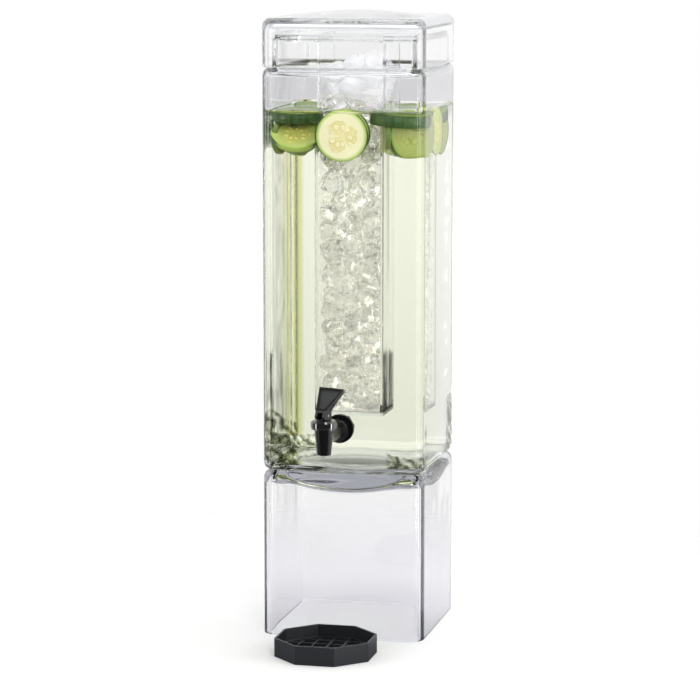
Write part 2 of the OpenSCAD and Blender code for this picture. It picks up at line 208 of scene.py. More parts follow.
def turned_skin(name, rows):
    """A closed skin through rows of (half width, straight half, height, outward, upward) or ready rows. The
    first and the last are single points on the axis."""
    points, facings = [], []
    for row in rows:
        if len(row) == 2:
            points.append(row[0])
            facings.append(row[1])
            continue
        half, flat, height, out, up = row
        if half < NO_LENGTH:
            ring, away = np.zeros((1, 2)), np.zeros((1, 2))
        else:
            ring, away = outline(half, flat)
        points.append(np.column_stack([ring, np.full(len(ring), height)]))
        facings.append(np.column_stack([away * out, np.full(len(ring), up)]))
    starts = np.cumsum([0] + [len(p) for p in points])
    count, faces = len(BEARINGS), []
    for k in range(len(rows) - 1):
        a, b = starts[k], starts[k + 1]
        for i in range(count):
            j = (i + 1) % count
            if len(points[k]) == 1:
                faces.append((a, b + j, b + i))
            elif len(points[k + 1]) == 1:
                faces.append((a + i, a + j, b))
            else:
                faces.append((a + i, a + j, b + j, b + i))
    made = bpy.data.meshes.new(name)
    made.from_pydata((np.concatenate(points) * MM).tolist(), [], faces)
    made.polygons.foreach_set("use_smooth", [True] * len(made.polygons))
    facings = np.concatenate(facings)
    facings /= np.linalg.norm(facings, axis=1, keepdims=True)
    made.normals_split_custom_set_from_vertices(facings.tolist())
    return made


def place(name, mesh, finish, body, stands_for=(), lets_light=False):
    """Puts a piece in the scene with its finish; it rides on a body and may stand for CAD nodes."""
    made = bpy.data.objects.new(name, mesh)
    bpy.context.scene.collection.objects.link(made)
    mesh.materials.append(finish)
    made.visible_shadow = not lets_light
    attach(made, body)
    if stands_for:
        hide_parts(*stands_for)
    return made


def light_through(plain, surface, shade):
    """Lets the lamps' light through a clear surface, so that it casts only a pale shadow."""
    return plain.node("ShaderNodeMixShader", {}, {
        0: plain.node("ShaderNodeLightPath", out="Is Shadow Ray"), 1: surface,
        2: plain.node("ShaderNodeBsdfTransparent", {}, {"Color": shade})})


WHITE = (1, 1, 1, 1)


def clear_finish(name, index, mirror, body_colour, thickness, wave, wave_depth, shade):
    """Clear stuff with a faintly wavy skin that greys the light along its edges."""
    made, plain = start_finish(name)
    skin = plain.grain(wave, SMOOTH).bump(wave_depth)
    surface = light_through(plain, plain.node("ShaderNodeBsdfPrincipled", {}, {
        "Base Color": WHITE, "Roughness": 0.0, "IOR": index, "Transmission Weight": 1.0,
        "Specular Tint": (mirror, mirror, mirror, 1), "Normal": skin}), shade)
    volume = plain.node("ShaderNodeVolumeAbsorption", {}, {"Color": body_colour, "Density": thickness})
    end_finish(plain, surface, volume)
    return made


GLASS_INDEX, GLASS_COLOUR, BASE_DENSITY = 1.5, (0.1, 0.11, 0.18, 1), 4.5
GLASS_WAVE, GLASS_WAVE_DEPTH, BASE_SHADE = 60 * MM, 0.12 * MM, (0.8, 0.8, 0.82, 1)
BASE_MIRROR = 0.7
base_glass = clear_finish("base_glass", GLASS_INDEX, BASE_MIRROR, GLASS_COLOUR, BASE_DENSITY,
                          GLASS_WAVE, GLASS_WAVE_DEPTH, BASE_SHADE)

OUTER, INNER, STRAIGHT = 89, 83, 73
BASE_TOP, BASE_ROUND, BASE_INNER_ROUND, FOOT_ROUND = 182, 9, 9, 1.5
PUSH_UP, PUSH_UP_RADIUS, PUSH_UP_REACH, PUSH_UP_SOFT = 8, 328, 73.5, 0.8
BASE_THICK, LENS, LENS_RADIUS, LENS_SOFT, LENS_SQUARE = 7, 23, 220.3, 1.5, 3
LENS_STEPS, FILLET_STEPS = 20, 9
ceiling = BASE_TOP - BASE_THICK
foot_mid = INNER + FOOT_ROUND
lens_half = INNER - BASE_INNER_ROUND
base_rows = [(0, 0, ceiling - LENS, 0, -1)]
for step in range(1, LENS_STEPS + 1):
    share = step / LENS_STEPS
    base_rows.append(hung(lens_half * share, STRAIGHT * share ** LENS_SQUARE, ceiling, LENS, LENS_RADIUS,
                          LENS_SOFT, BASE_INNER_ROUND, 90))
for step in range(1, FILLET_STEPS + 1):
    turn = 90 - 90 * step / FILLET_STEPS
    base_rows.append(hung(lens_half + BASE_INNER_ROUND * math.cos(math.radians(turn)), STRAIGHT, ceiling,
                          LENS, LENS_RADIUS, LENS_SOFT, BASE_INNER_ROUND, turn))
base_rows += bend(foot_mid, FOOT_ROUND, FOOT_ROUND, 180, 270, STRAIGHT)
base_rows += bend(OUTER - FOOT_ROUND, FOOT_ROUND, FOOT_ROUND, -90, 0, STRAIGHT)
base_rows += bend(OUTER - BASE_ROUND, BASE_TOP - BASE_ROUND, BASE_ROUND, 0, 90, STRAIGHT)
base_rows += dome(BASE_TOP, -PUSH_UP, PUSH_UP_RADIUS, PUSH_UP_REACH, PUSH_UP_SOFT, 1, True)
place("pedestal_glass", turned_skin("pedestal_glass", base_rows), base_glass, "pedestal",
      ["glass_base"])

# Jar: the same pressed glass, with a thick pushed-up floor, a rounded shoulder and a plain straight neck.
# It stands on the pedestal by its foot ring, and the tap's shank goes through its front wall.
JAR_FLOOR, JAR_ROUND, JAR_INNER_ROUND, JAR_WALL = 6, 8, 9, 6
SHOULDER, SHOULDER_ROUND, SHOULDER_TURN, SHOULDER_INNER_ROUND = 617, 9, 80, 4
NECK, NECK_STRAIGHT, MOUTH, MOUTH_STRAIGHT, RIM, RIM_ROUND = 79, 71, 73.5, 69.5, 647, 1.5
NECK_FILLET, NECK_FILLET_STEPS = 2, 4
floor_level = BASE_TOP + JAR_FLOOR
jar_ceiling = SHOULDER - JAR_WALL
jar_rows = dome(BASE_TOP, PUSH_UP, PUSH_UP_RADIUS, PUSH_UP_REACH, PUSH_UP_SOFT, -1, False)
jar_rows += bend(OUTER - JAR_ROUND, BASE_TOP + JAR_ROUND, JAR_ROUND, -90, 0, STRAIGHT)
jar_rows += bend(OUTER - SHOULDER_ROUND, SHOULDER - SHOULDER_ROUND, SHOULDER_ROUND,
                 0, SHOULDER_TURN, STRAIGHT)
jar_rows += bend(NECK + NECK_FILLET, SHOULDER + NECK_FILLET, NECK_FILLET,
                 270, 180, NECK_STRAIGHT, -1, NECK_FILLET_STEPS)
jar_rows += bend(NECK - RIM_ROUND, RIM - RIM_ROUND, RIM_ROUND, 0, 90, NECK_STRAIGHT)
jar_rows += bend(MOUTH + RIM_ROUND, RIM - RIM_ROUND, RIM_ROUND, 90, 180, MOUTH_STRAIGHT)
jar_rows += bend(MOUTH + RIM_ROUND, jar_ceiling + RIM_ROUND, RIM_ROUND, 180, 270, MOUTH_STRAIGHT)
jar_rows += bend(INNER - SHOULDER_INNER_ROUND, jar_ceiling - SHOULDER_INNER_ROUND, SHOULDER_INNER_ROUND,
                 90, 0, STRAIGHT, -1)
jar_rows += bend(INNER - JAR_INNER_ROUND, floor_level + JAR_INNER_ROUND, JAR_INNER_ROUND,
                 0, -90, STRAIGHT, -1)
jar_rows += dome(floor_level, PUSH_UP, PUSH_UP_RADIUS + JAR_FLOOR, PUSH_UP_REACH, PUSH_UP_SOFT, 1, True)
JAR_SHADE, JAR_MIRROR, JAR_DENSITY = (0.96, 0.96, 0.97, 1), 0.4, 1.6
jar_glass = clear_finish("jar_glass", GLASS_INDEX, JAR_MIRROR, GLASS_COLOUR, JAR_DENSITY,
                         GLASS_WAVE, GLASS_WAVE_DEPTH, JAR_SHADE)
place("jar_glass", turned_skin("jar_glass", jar_rows), jar_glass, "jar", ["glass_jar"])

# Drink: a pale cucumber water that fills the jar to just under the shoulder and creeps up the glass at its
# edge. The ice tube's inside stays dry: a pocket of air in the drink.
DRINK_LEVEL, DRINK_IN_GLASS, CREEP = 570, 0.15, 2.5
drink_half = INNER + DRINK_IN_GLASS
drink_floor = floor_level - DRINK_IN_GLASS
drink_rows = dome(drink_floor, PUSH_UP, PUSH_UP_RADIUS + JAR_FLOOR, PUSH_UP_REACH, PUSH_UP_SOFT, -1, False)
drink_rows += bend(drink_half - JAR_INNER_ROUND, drink_floor + JAR_INNER_ROUND, JAR_INNER_ROUND,
                   -90, 0, STRAIGHT)
drink_rows += [(drink_half, STRAIGHT, DRINK_LEVEL + CREEP, 1, 0)]
drink_rows += bend(drink_half - CREEP, DRINK_LEVEL + CREEP, CREEP, 0, -90, STRAIGHT, -1)
drink_rows += [(STRAIGHT, STRAIGHT - 1, DRINK_LEVEL, 0, 1), (1, 0, DRINK_LEVEL, 0, 1),
               (0, 0, DRINK_LEVEL, 0, 1)]

DRINK_INDEX, DRINK_COLOUR, DRINK_DENSITY = 1.33, (0.88, 0.955, 0.3, 1), 1.6
DRINK_MIRROR, DRINK_SHADE = (0.3, 0.3, 0.3, 1), (0.96, 0.97, 0.9, 1)
DRINK_EDGE, EDGE_FROM = (0.64, 0.67, 0.2, 1), (0.72, 0.95)
# Painted shade: in its back corners the drink's colour turns a darker olive, and nearly black in each crease.
DRINK_CORNER_SHADE, CORNER_FROM = (0.6, 0.62, 0.22, 1), (70 * MM, 77 * MM)
DRINK_CREASE_SHADE, CREASE_FROM = (0.03, 0.032, 0.003, 1), (77 * MM, 80.5 * MM)
drink_finish, plain = start_finish("cucumber_water")
spot = plain.where()
x, y, z = map(spot.along, "XYZ")
aside = plain.work("ABSOLUTE", x)
edge = plain.node("ShaderNodeLayerWeight", out="Facing").rise(*EDGE_FROM)
# Painted shade in the back corners and their creases.
corner_shade = aside.rise(*CORNER_FROM) * y.rise(*CORNER_FROM)
crease_shade = aside.rise(*CREASE_FROM) * y.rise(*CREASE_FROM)
colour = corner_shade.tint(edge.tint(WHITE, DRINK_EDGE), DRINK_CORNER_SHADE)
colour = crease_shade.tint(colour, DRINK_CREASE_SHADE)

# Painted light and shade: low in each corner, under a ragged top, the drink's colour is streaked dark, green
# and pale.
FOLDS_FROM, FOLDS_TOP, FOLDS_TILT = (46 * MM, 52 * MM), 222 * MM, 0.3
FOLDS_RAGGED, FOLDS_SOFT = 26 * MM, 1.5 * MM
FOLD_SCALE, FOLD_TWIST, FOLD_GRAIN, FOLD_STRETCH = 36.0, 11.0, 5 * MM, (1, 1, 0.35)
FOLD_WAVES, FOLD_FLECKS, DARK_SHOW, CLEAR_SHOW = 0.32, 0.68, (0.37, 0.44), (0.56, 0.62)
FOLD_PAINTED_SHADE, FOLD_GREEN, FOLD_PAINTED_LIGHT = (0.03, 0.035, 0.02, 1), (0.36, 0.4, 0.27, 1), (0.95, 0.96, 0.92, 1)
ragged = (plain.grain(FOLDS_RAGGED) - 0.5) * FOLDS_RAGGED
top = x * y * (FOLDS_TILT / (INNER * MM)) + FOLDS_TOP + ragged
under_top = 1 - (z - top).rise(-FOLDS_SOFT, FOLDS_SOFT)
painted_folds = aside.rise(*FOLDS_FROM) * plain.work("ABSOLUTE", y).rise(*FOLDS_FROM) * under_top
waves = plain.node("ShaderNodeTexWave", {"bands_direction": "DIAGONAL"}, {
    "Vector": spot, "Scale": FOLD_SCALE, "Distortion": FOLD_TWIST, "Detail": BROKEN}, "Fac")
fold = waves * FOLD_WAVES + plain.grain(FOLD_GRAIN, CRUMBLED, FOLD_STRETCH) * FOLD_FLECKS
# Painted streaks of shade and light.
streak = (1 - fold.rise(*DARK_SHOW)).tint(fold.rise(*CLEAR_SHOW).tint(FOLD_GREEN, FOLD_PAINTED_LIGHT), FOLD_PAINTED_SHADE)
colour = painted_folds.tint(colour, streak)

RIPPLE, RIPPLE_DEPTH = 16 * MM, 2.2 * MM
stirred = (plain.grain(RIPPLE) * z.rise((DRINK_LEVEL - 1) * MM, DRINK_LEVEL * MM)).bump(RIPPLE_DEPTH)
surface = light_through(plain, plain.node("ShaderNodeBsdfPrincipled", {}, {
    "Base Color": colour, "Roughness": 0.0, "IOR": DRINK_INDEX, "Transmission Weight": 1.0,
    "Specular Tint": DRINK_MIRROR, "Normal": stirred}), DRINK_SHADE)
end_finish(plain, surface, plain.node("ShaderNodeVolumeAbsorption", {}, {
    "Color": DRINK_COLOUR, "Density": DRINK_DENSITY}))
place("drink", turned_skin("drink", drink_rows), drink_finish, "jar")

TUBE_MID, TUBE_MID_STRAIGHT, TUBE_MID_FLOOR, POCKET_UNDER, POCKET_LEFT = 36.3, 34.5, 242, 0.05, 0.01
POCKET_TOP = DRINK_LEVEL - POCKET_UNDER
pocket_rows = [(0, 0, POCKET_TOP, 0, -1), (1, 0, POCKET_TOP, 0, -1),
               (TUBE_MID - 1, TUBE_MID_STRAIGHT - 1, POCKET_TOP, 0, -1),
               (TUBE_MID, TUBE_MID_STRAIGHT, POCKET_TOP, 0, -1),
               (TUBE_MID, TUBE_MID_STRAIGHT, POCKET_TOP, -1, 0),
               (TUBE_MID, TUBE_MID_STRAIGHT, TUBE_MID_FLOOR, -1, 0),
               (TUBE_MID, TUBE_MID_STRAIGHT, TUBE_MID_FLOOR, 0, 1),
               (TUBE_MID - 1, TUBE_MID_STRAIGHT - 1, TUBE_MID_FLOOR, 0, 1),
               (1, 0, TUBE_MID_FLOOR, 0, 1), (0, 0, TUBE_MID_FLOOR, 0, 1)]
pocket_finish, plain = start_finish("dry_pocket")
end_finish(plain, plain.node("ShaderNodeBsdfPrincipled", {}, {
    "Base Color": WHITE, "Roughness": 0.0, "IOR": DRINK_INDEX, "Transmission Weight": 1.0,
    "Specular Tint": DRINK_MIRROR}))
pocket = place("drink_pocket", turned_skin("drink_pocket", pocket_rows), pocket_finish, "jar",
               lets_light=True)
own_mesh(pocket)

# Ice tube: a square tube of clear polished plastic, cemented to a floor plate below and to the stepped plate
# above that lies on the neck's rim and centres it in the mouth.
PLASTIC_INDEX, PLASTIC_COLOUR, PLASTIC_DENSITY = 1.43, (0.3, 0.5, 0.55, 1), 0.8
PLASTIC_WAVE, PLASTIC_WAVE_DEPTH, PLASTIC_SHADE = 40 * MM, 0.1 * MM, (0.96, 0.96, 0.96, 1)
PLASTIC_MIRROR = 0.3
clear_plastic = clear_finish("clear_plastic", PLASTIC_INDEX, PLASTIC_MIRROR, PLASTIC_COLOUR, PLASTIC_DENSITY,
                             PLASTIC_WAVE, PLASTIC_WAVE_DEPTH, PLASTIC_SHADE)


def dress(name, finish):
    """Gives a CAD node its finish."""
    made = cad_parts[name]
    made.data.materials.clear()
    made.data.materials.append(finish)


for name in ("ice_tube", "ice_tube_floor", "ice_tube_flange"):
    dress(name, clear_plastic)

# Ice: broken lumps of clear ice, tipped into the tube and settled on each other up to its mouth. Each lump
# has a dozen melted, rounded faces, and those above the drink are dry and frosted.
ICE_SEED, ICE_COUNT, ICE_RADIUS = 7, 150, (11.4, 16.2)
ICE_ROOM, ICE_SPREAD, ICE_FLOOR, ICE_TOP = 34.2, 0.6, 245.5, 652
ICE_ROUNDS, ICE_SINK, ICE_TOUCH, ICE_PUSH, ICE_NOT_ITSELF = 420, 0.2, 0.93, 0.3, 1e3
ICE_AT_WALL, ICE_AT_FLOOR = 0.97, 0.9
chance = random.Random(ICE_SEED)
lump_size = np.array([chance.uniform(*ICE_RADIUS) for _ in range(ICE_COUNT)])
lump_place = np.array([[chance.uniform(-1, 1) * ICE_ROOM * ICE_SPREAD,
                        chance.uniform(-1, 1) * ICE_ROOM * ICE_SPREAD,
                        chance.uniform(ICE_FLOOR, ICE_TOP)] for _ in range(ICE_COUNT)])
for _ in range(ICE_ROUNDS):
    lump_place[:, 2] -= ICE_SINK
    apart = lump_place[:, None] - lump_place[None]
    gap = np.linalg.norm(apart, axis=2) + np.eye(ICE_COUNT) * ICE_NOT_ITSELF
    press = np.maximum((lump_size[:, None] + lump_size[None]) * ICE_TOUCH - gap, 0) / gap
    lump_place += (apart * press[..., None]).sum(1) * ICE_PUSH
    for axis in (0, 1):
        room = ICE_ROOM - lump_size * ICE_AT_WALL
        lump_place[:, axis] = np.clip(lump_place[:, axis], -room, room)
    lump_place[:, 2] = np.clip(lump_place[:, 2], ICE_FLOOR + lump_size * ICE_AT_FLOOR, ICE_TOP)

ICE_DETAIL, ICE_FACES, ICE_FACE_NEAR, ICE_FACE_LEAST, ICE_MELT, ICE_REACH = 3, 15, 0.7, 0.02, 26, 1.25
ball = bmesh.new()
bmesh.ops.create_icosphere(ball, subdivisions=ICE_DETAIL, radius=1)
ways = np.array([v.co for v in ball.verts])
ball_faces = [[v.index for v in f.verts] for f in ball.faces]
ball.free()
points, faces = [], []
for size, spot in zip(lump_size, lump_place):
    cuts = np.array([[chance.gauss(0, 1) for _ in range(3)] for _ in range(ICE_FACES)])
    cuts /= np.linalg.norm(cuts, axis=1, keepdims=True)
    near = np.array([chance.uniform(ICE_FACE_NEAR, 1) for _ in range(ICE_FACES)])
    depth = (np.maximum(ways @ cuts.T / near, ICE_FACE_LEAST) ** ICE_MELT).sum(1) ** (-1 / ICE_MELT)
    lump = ways * np.minimum(depth, ICE_REACH)[:, None] * size + spot
    lump[:, :2] = np.clip(lump[:, :2], -ICE_ROOM, ICE_ROOM)
    lump[:, 2] = np.maximum(lump[:, 2], ICE_FLOOR - 1)
    faces += [[k + len(points) * len(ways) for k in f] for f in ball_faces]
    points.append(lump)
ice_mesh = bpy.data.meshes.new("ice")
ice_mesh.from_pydata((np.concatenate(points) * MM).tolist(), [], faces)

ICE_INDEX, ICE_BODY = 1.31, (0.94, 0.937, 0.946, 1)
ICE_RIPPLE, ICE_RIPPLE_DEPTH, ICE_CHIP, ICE_CHIP_DEPTH = 12 * MM, 1.0 * MM, 4 * MM, 0.12 * MM
FROST, FROST_SIZE, FROST_FROM, FROST_MOST = (0.9, 0.87, 0.89, 1), 11 * MM, (0.42, 0.75), 0.12
DRY_SHARE, DRY_FROST, DRY_FADE = 0.37, (0.74, 0.74, 0.74, 1), 20
CRACK, CRACK_GLINT_FROM, CRACK_BREAK = 13 * MM, (0.63, 0.66), 8 * MM
SHADOW_LINE, SHADOW_GAP, SHADOW_COLOUR = (0.008, 0.02), (0.6, 0.66), (0.03, 0.03, 0.03, 1)
ice_finish, plain = start_finish("clear_ice")
rough_skin = plain.grain(ICE_CHIP).bump(ICE_CHIP_DEPTH, plain.grain(ICE_RIPPLE).bump(ICE_RIPPLE_DEPTH))
crack = plain.grain(CRACK, BROKEN)
shadow = 1 - plain.work("ABSOLUTE", crack - 0.5).rise(*SHADOW_LINE)
shadow = shadow * plain.grain(CRACK_BREAK, SMOOTH).rise(*SHADOW_GAP)
frost_and_glint = plain.grain(FROST_SIZE, BROKEN).rise(*FROST_FROM) * FROST_MOST
# White crack patches: partly the white of cracks in the ice, partly painted glints.
frost_and_glint = plain.work("MAXIMUM", frost_and_glint, crack.rise(*CRACK_GLINT_FROM))
dry = plain.where().along("Z").rise(DRINK_LEVEL * MM, (DRINK_LEVEL + DRY_FADE) * MM)
frost_and_glint = plain.work("MAXIMUM", frost_and_glint * (1 - dry), dry * DRY_SHARE)
end_finish(plain, plain.node("ShaderNodeMixShader", {}, {
    0: frost_and_glint,
    1: plain.node("ShaderNodeBsdfPrincipled", {}, {
        "Base Color": shadow.tint(ICE_BODY, SHADOW_COLOUR), "Roughness": 0.0, "IOR": ICE_INDEX,
        "Transmission Weight": 1.0, "Normal": rough_skin}),
    2: plain.node("ShaderNodeBsdfPrincipled", {}, {
        "Base Color": dry.tint(FROST, DRY_FROST), "Roughness": 1.0, "Specular IOR Level": 0.0})}))
place("ice", ice_mesh, ice_finish, "ice_chamber", lets_light=True)

# Lid: a low cap of the jar's glass with a slightly domed top. It slips over the neck, and its polished rim
# stands on the curve of the jar's shoulder.
LID_LOW, LID_HIGH, LID_TOP, LID_ROUND, LID_INNER_ROUND = 616.8, 52.5, 7, 9, 5
LID_DOME, LID_DOME_RADIUS, LID_DOME_REACH, LID_DOME_SOFT = 6, 484.33, 77.5, 0.5
lid_ceiling = LID_LOW + LID_HIGH - LID_TOP
lid_top = LID_LOW + LID_HIGH
lid_rows = dome(lid_ceiling, LID_DOME, LID_DOME_RADIUS - LID_TOP, LID_DOME_REACH, LID_DOME_SOFT, -1, False)
lid_rows += bend(INNER - LID_INNER_ROUND, lid_ceiling - LID_INNER_ROUND, LID_INNER_ROUND, 90, 0, STRAIGHT, -1)
lid_rows += bend(foot_mid, LID_LOW + FOOT_ROUND, FOOT_ROUND, 180, 270, STRAIGHT)
lid_rows += bend(OUTER - FOOT_ROUND, LID_LOW + FOOT_ROUND, FOOT_ROUND, -90, 0, STRAIGHT)
lid_rows += bend(OUTER - LID_ROUND, lid_top - LID_ROUND, LID_ROUND, 0, 90, STRAIGHT)
lid_rows += dome(lid_top, LID_DOME, LID_DOME_RADIUS, LID_DOME_REACH, LID_DOME_SOFT, 1, True)
place("lid_glass", turned_skin("lid_glass", lid_rows), jar_glass, "lid", ["glass_lid"])

# Cucumber: thick round slices with their dark peel on, crowded under the surface of the drink. The fresh
# finish is their own pale, wet colour with three fans of seeds; the olive and dark green copies of it are
# painted shade on the slices deeper in the drink.
SLICE_WOBBLE, SLICE_FLECK, SLICE_ROUGH, SLICE_INDEX = 7 * MM, 1.3 * MM, 0.28, 1.4
SEED_FANS, CORE_LOBE, CORE_WOBBLE, CORE_EDGE = 3, 0.07, 0.2, (0.52, 0.6)
WALL_WOBBLE, WALL_EDGE, SEEDLESS = 0.5, (-1.0, -0.75), (0.1, 0.2)
SEED_TURN, SEED_WOBBLE, SEED_ROWS, SEED_SCATTER = 1.45, 0.5, 3.4, 0.55
KERNEL_EDGE, HUSK_EDGE = (0.3, 0.4), (0.42, 0.52)
RIND_WOBBLE, RIND_EDGE, PEEL_EDGE = 0.04, (0.8, 0.94), (0.945, 0.97)
PEEL_STREAK, PEEL_STRETCH, PEEL_STREAKS, PEEL_FLECKS = 3 * MM, (1, 1, 0.1), 0.6, 0.4
PEEL_SHOW, PEEL_DARK, PEEL_LIGHT = (0.35, 0.68), (0.012, 0.04, 0.006, 1), (0.05, 0.11, 0.018, 1)
SLICE_RELIEF, KERNEL_RELIEF, FLECK_RELIEF = 0.7 * MM, 0.5, 0.3


def slice_finish(name, radius, rind, flesh, core_colour, seed_colour, seed_line):
    """A cut cucumber: peel round the edge, a green ring under it, flesh, and seeds in three fans."""
    made, plain = start_finish(name)
    x, y = map(plain.where().along, "XY")
    far = (x ** 2.0 + y ** 2.0) ** 0.5 / (radius * MM)
    fan = plain.work("ARCTAN2", y, x)
    wobble = plain.grain(SLICE_WOBBLE, ROUGH)
    fleck = plain.grain(SLICE_FLECK, ROUGH)
    streak = plain.grain(PEEL_STREAK, ROUGH, PEEL_STRETCH)
    lobe = plain.work("COSINE", fan * SEED_FANS)
    core = 1 - (far - CORE_LOBE * lobe + CORE_WOBBLE * (wobble - 0.5)).rise(*CORE_EDGE)
    wall = 1 - (lobe + WALL_WOBBLE * (wobble - 0.5)).rise(*WALL_EDGE)
    fans = core * (1 - wall)
    polar = plain.node("ShaderNodeCombineXYZ", {}, {
        "X": fan * SEED_TURN + wobble * SEED_WOBBLE, "Y": far * SEED_ROWS})
    cell = plain.node("ShaderNodeTexVoronoi", {"voronoi_dimensions": "2D"},
                      {"Vector": polar, "Scale": 1.0, "Randomness": SEED_SCATTER}, "Distance")
    seeded = fans * far.rise(*SEEDLESS)
    kernel = (1 - cell.rise(*KERNEL_EDGE)) * seeded
    husk = (1 - cell.rise(*HUSK_EDGE)) * seeded
    ring = (far + RIND_WOBBLE * (wobble - 0.5)).rise(*RIND_EDGE)
    peel = (PEEL_STREAKS * streak + PEEL_FLECKS * fleck).rise(*PEEL_SHOW).tint(PEEL_DARK, PEEL_LIGHT)
    colour = fans.tint(flesh, core_colour)
    colour = (husk - kernel).tint(colour, seed_line)
    colour = kernel.tint(colour, seed_colour)
    colour = ring.tint(colour, rind)
    colour = far.rise(*PEEL_EDGE).tint(colour, peel)
    skin = (wobble + KERNEL_RELIEF * kernel + FLECK_RELIEF * fleck).bump(SLICE_RELIEF)
    end_finish(plain, plain.node("ShaderNodeBsdfPrincipled", {}, {
        "Base Color": colour, "Roughness": SLICE_ROUGH, "IOR": SLICE_INDEX, "Normal": skin}))
    return made


fresh = slice_finish("fresh_slice", radius=28.5, rind=(0.36, 0.5, 0.1, 1), flesh=(0.72, 0.7, 0.45, 1),
                     core_colour=(0.66, 0.61, 0.29, 1), seed_colour=(0.74, 0.68, 0.42, 1),
                     seed_line=(0.58, 0.5, 0.2, 1))
# Painted shade: darker copies of the fresh slice for slices in shade, the last one without seeds.
half_shaded = slice_finish("half_shaded_slice", radius=27, rind=(0.34, 0.46, 0.09, 1), flesh=(0.38, 0.44, 0.1, 1),
                       core_colour=(0.46, 0.47, 0.1, 1), seed_colour=(0.66, 0.62, 0.2, 1),
                       seed_line=(0.36, 0.36, 0.06, 1))
shaded = slice_finish("shaded_slice", radius=27, rind=(0.09, 0.16, 0.02, 1), flesh=(0.12, 0.18, 0.03, 1),
                      core_colour=(0.17, 0.2, 0.035, 1), seed_colour=(0.26, 0.26, 0.08, 1),
                      seed_line=(0.12, 0.14, 0.02, 1))
seedless_shaded = slice_finish("seedless_shaded_slice", radius=27, rind=(0.2, 0.28, 0.04, 1), flesh=(0.22, 0.27, 0.04, 1),
                      core_colour=(0.25, 0.29, 0.045, 1), seed_colour=(0.27, 0.3, 0.05, 1),
                      seed_line=(0.22, 0.26, 0.04, 1))

SLICE_EDGE, SLICE_SIDES, SLICE_RINGS = 0.8, 72, (0.5, 0.85)
SLICE_OVAL, SLICE_LUMPY, SLICE_CHANGE = 0.03, 0.03, 0.1


def cucumber_slice(name, middle, turn, radius, thick, finish):
    """A slice about middle, turned by the three angles in degrees, a little out of round."""
    made = bmesh.new()
    rows = []
    half = thick / 2
    upper = [(r, half) for r in (*SLICE_RINGS, 1 - SLICE_EDGE / radius)] + [(1, half - SLICE_EDGE)]
    for r, z in upper + [(r, -z) for r, z in upper[::-1]]:
        row = []
        for k in range(SLICE_SIDES):
            a = 2 * math.pi * k / SLICE_SIDES
            c, s = math.cos(a), math.sin(a)
            uneven = noise.noise(Vector((c, s, middle[0] * SLICE_CHANGE)))
            lump = 1 + SLICE_OVAL * math.cos(2 * a) + SLICE_LUMPY * uneven
            row.append(made.verts.new(Vector((r * radius * lump * c, r * radius * lump * s, z)) * MM))
        rows.append(row)
    for a, b in zip(rows, rows[1:]):
        for k in range(SLICE_SIDES):
            j = (k + 1) % SLICE_SIDES
            made.faces.new((a[k], b[k], b[j], a[j]))
    for row, z, order in ((rows[0], half, 1), (rows[-1], -half, -1)):
        pole = made.verts.new((0, 0, z * MM))
        for k in range(SLICE_SIDES):
            made.faces.new((pole, row[k], row[(k + 1) % SLICE_SIDES])[::order])
    mesh = bpy.data.meshes.new(name)
    made.to_mesh(mesh)
    made.free()
    mesh.polygons.foreach_set("use_smooth", [True] * len(mesh.polygons))
    mesh.materials.append(finish)
    piece = bpy.data.objects.new(name, mesh)
    bpy.context.scene.collection.objects.link(piece)
    piece.location = Vector(middle) * MM
    piece.rotation_euler = Euler([math.radians(t) for t in turn])
    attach(piece, "jar")


SLICES = (
    ((-1, -78, 545), (88, 0, 13), 28, 5, fresh),
    ((1, -69, 547), (88, 0, 14), 27, 5, half_shaded),
    ((-55, -58, 543), (33, 3, 10), 26, 7, half_shaded),
    ((-55, -40, 564), (4, -3, 30), 27, 11, shaded),
    ((-60, -18, 546), (86, 4, 16), 26, 8, shaded),
    ((-74, -48, 540), (90, 0, 80), 18, 6, shaded),
    ((-55, -34, 541), (90, 0, 70), 21, 11, shaded),
    ((55, -54, 562), (4, 3, 40), 28, 13, shaded),
    ((65, -44, 546), (90, 0, 50), 26, 8, seedless_shaded),
    ((47, -66, 546), (90, 0, 103), 16, 6, shaded),
    ((77, -6, 546), (90, 0, 78), 27, 6, half_shaded),
    ((-54, 34, 562), (8, 10, 5), 27, 10, shaded),
    ((-22, 62, 538), (60, 10, 12), 28, 9, half_shaded),
    ((38, 62, 542), (76, -8, 30), 27, 9, half_shaded),
    ((60, 36, 562), (8, 4, 15), 27, 11, shaded),
    ((10, 76, 545), (88, 0, -8), 28, 6, fresh),
)
for number, (middle, turn, radius, thick, finish) in enumerate(SLICES, 1):
    cucumber_slice(f"cucumber_slice_{number}", middle, turn, radius, thick, finish)

# Tap: a black lever tap moulded in glossy plastic. Spout, arm, flange and shank are one piece, which the nut
# clamps to the glass; the polished collar is screwed on over the valve.
BLACK, EDGE_ROUND, EDGE_SAMPLES, MOULDED_INDEX = (0.004, 0.004, 0.0045, 1), 0.5 * MM, 6, 1.5
ARM_GLOSS, ARM_PATCH, ARM_ROUGH, ARM_WAVE, ARM_WAVE_DEPTH = 0.12, 12 * MM, (0.2, 0.12), 5 * MM, 0.06 * MM
NOZZLE_BEHIND, NOZZLE_ROUGH = (-153 * MM, -148 * MM), 0.08


def soft_edge(plain, radius):
    """A normal that rounds the sharp edges of a CAD node."""
    return plain.node("ShaderNodeBevel", {"samples": EDGE_SAMPLES}, {"Radius": radius})


